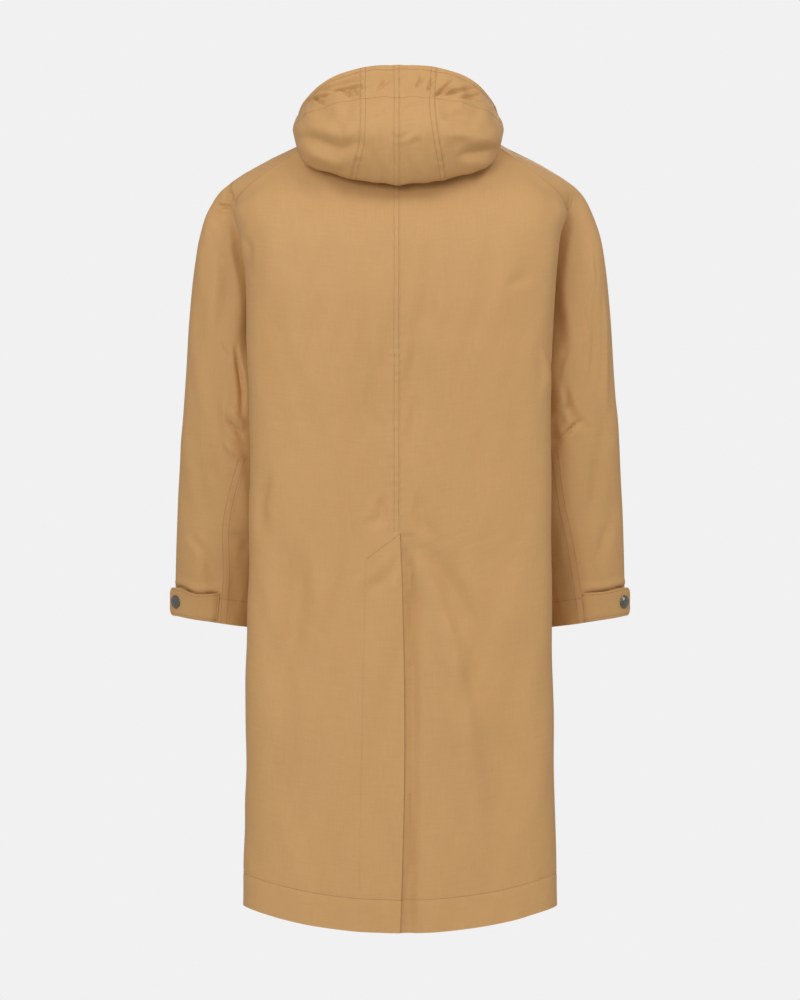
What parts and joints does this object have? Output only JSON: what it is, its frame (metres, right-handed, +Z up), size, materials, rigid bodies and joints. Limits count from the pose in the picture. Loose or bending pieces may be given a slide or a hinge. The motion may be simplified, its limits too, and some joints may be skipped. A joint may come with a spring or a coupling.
{
  "type": "hooded parka",
  "caption": "Knee-length hooded raglan parka in plain woven cloth, filled out as if worn, hood down, with a back vent and snap cuff tabs",
  "frame": {"origin": "the middle of the neck hole, at the height of the side of the neck, where a wearer's neck and shoulders carry the coat", "axes": "+Z up, +Y the way the wearer faces, so the back shown in the picture faces -Y, +X the wearer's right"},
  "size_m": [0.648, 0.3209, 1.1841],
  "materials": {
    "cloth": "plain tan woven cotton with a slight sheen",
    "snap": "dark gunmetal domed cap"
  },
  "bodies": {
    "root": {"back_left": "cloth", "back_right": "cloth", "front_left": "cloth", "front_right": "cloth", "sleeve_left": "cloth", "sleeve_right": "cloth", "hood_side_left": "cloth", "hood_side_right": "cloth", "hood_middle_left": "cloth", "hood_middle_right": "cloth", "cuff_tab_left": "cloth", "cuff_tab_right": "cloth", "snap_left": "snap", "snap_right": "snap"}
  },
  "joints": []
}
